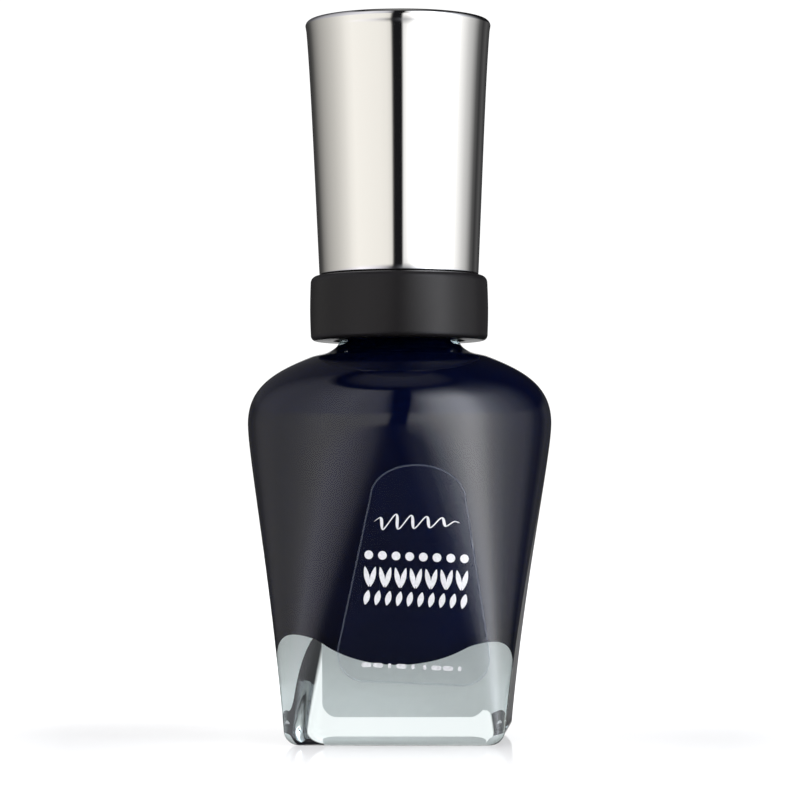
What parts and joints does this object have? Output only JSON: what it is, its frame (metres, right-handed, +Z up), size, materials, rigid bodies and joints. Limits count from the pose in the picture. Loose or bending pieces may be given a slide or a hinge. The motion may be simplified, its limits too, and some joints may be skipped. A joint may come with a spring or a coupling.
{
  "type": "nail polish bottle",
  "caption": "Heavy glass nail polish bottle, square at the foot and round at the shoulder, with a collared screw cap that carries a brush.",
  "frame": {"origin": "centre of the bottom of the bounding box, on the surface that the bottle stands on", "axes": "+Z up through the cap, -Y the front face with the nail-shaped label, +X the right side seen from the front"},
  "size_m": [0.0378, 0.0378, 0.0894],
  "materials": {
    "clear_glass": "clear, polished",
    "navy_lacquer": "glossy liquid",
    "ball_steel": "polished",
    "clear_film": "clear, soft satin",
    "label_paper": "white film, satin",
    "washer_foam": "matte",
    "stem_plastic": "satin",
    "staple_steel": "bright",
    "bristles": "satin filaments",
    "cap_plastic": "matte",
    "collar_satin": "satin black",
    "chrome_plating": "mirror plated plastic"
  },
  "bodies": {
    "bottle": {"glass_bottle": "clear_glass", "lacquer_fill": "navy_lacquer", "mixing_ball_1": "ball_steel", "mixing_ball_2": "ball_steel", "front_label": "clear_film", "rear_label": "label_paper", "base_label": "label_paper"},
    "washer": {"sealing_washer": "washer_foam"},
    "brush": {"brush_stem": "stem_plastic", "bristle_staple": "staple_steel", "bristle_tuft": "bristles"},
    "cap": {"inner_cap": "cap_plastic", "collar_ring": "collar_satin", "overcap": "chrome_plating"}
  },
  "joints": [
    {"name": "cap_pull", "type": "slide", "parent": "bottle", "child": "washer", "axis": [0, 0, 1], "range_m": [0, 0.052]},
    {"name": "cap_rise", "type": "slide", "parent": "washer", "child": "brush", "axis": [0, 0, 1], "range_m": [0, 0.0032]},
    {"name": "cap_turn", "type": "hinge", "parent": "brush", "child": "cap", "pos_m": [0, 0, 0.0622], "axis": [0, 0, 1], "range_deg": [0, 540]}
  ],
  "couplings": [
    {"joint": "cap_rise", "follows": "cap_turn", "m_per_rad": 0.00033741}
  ]
}
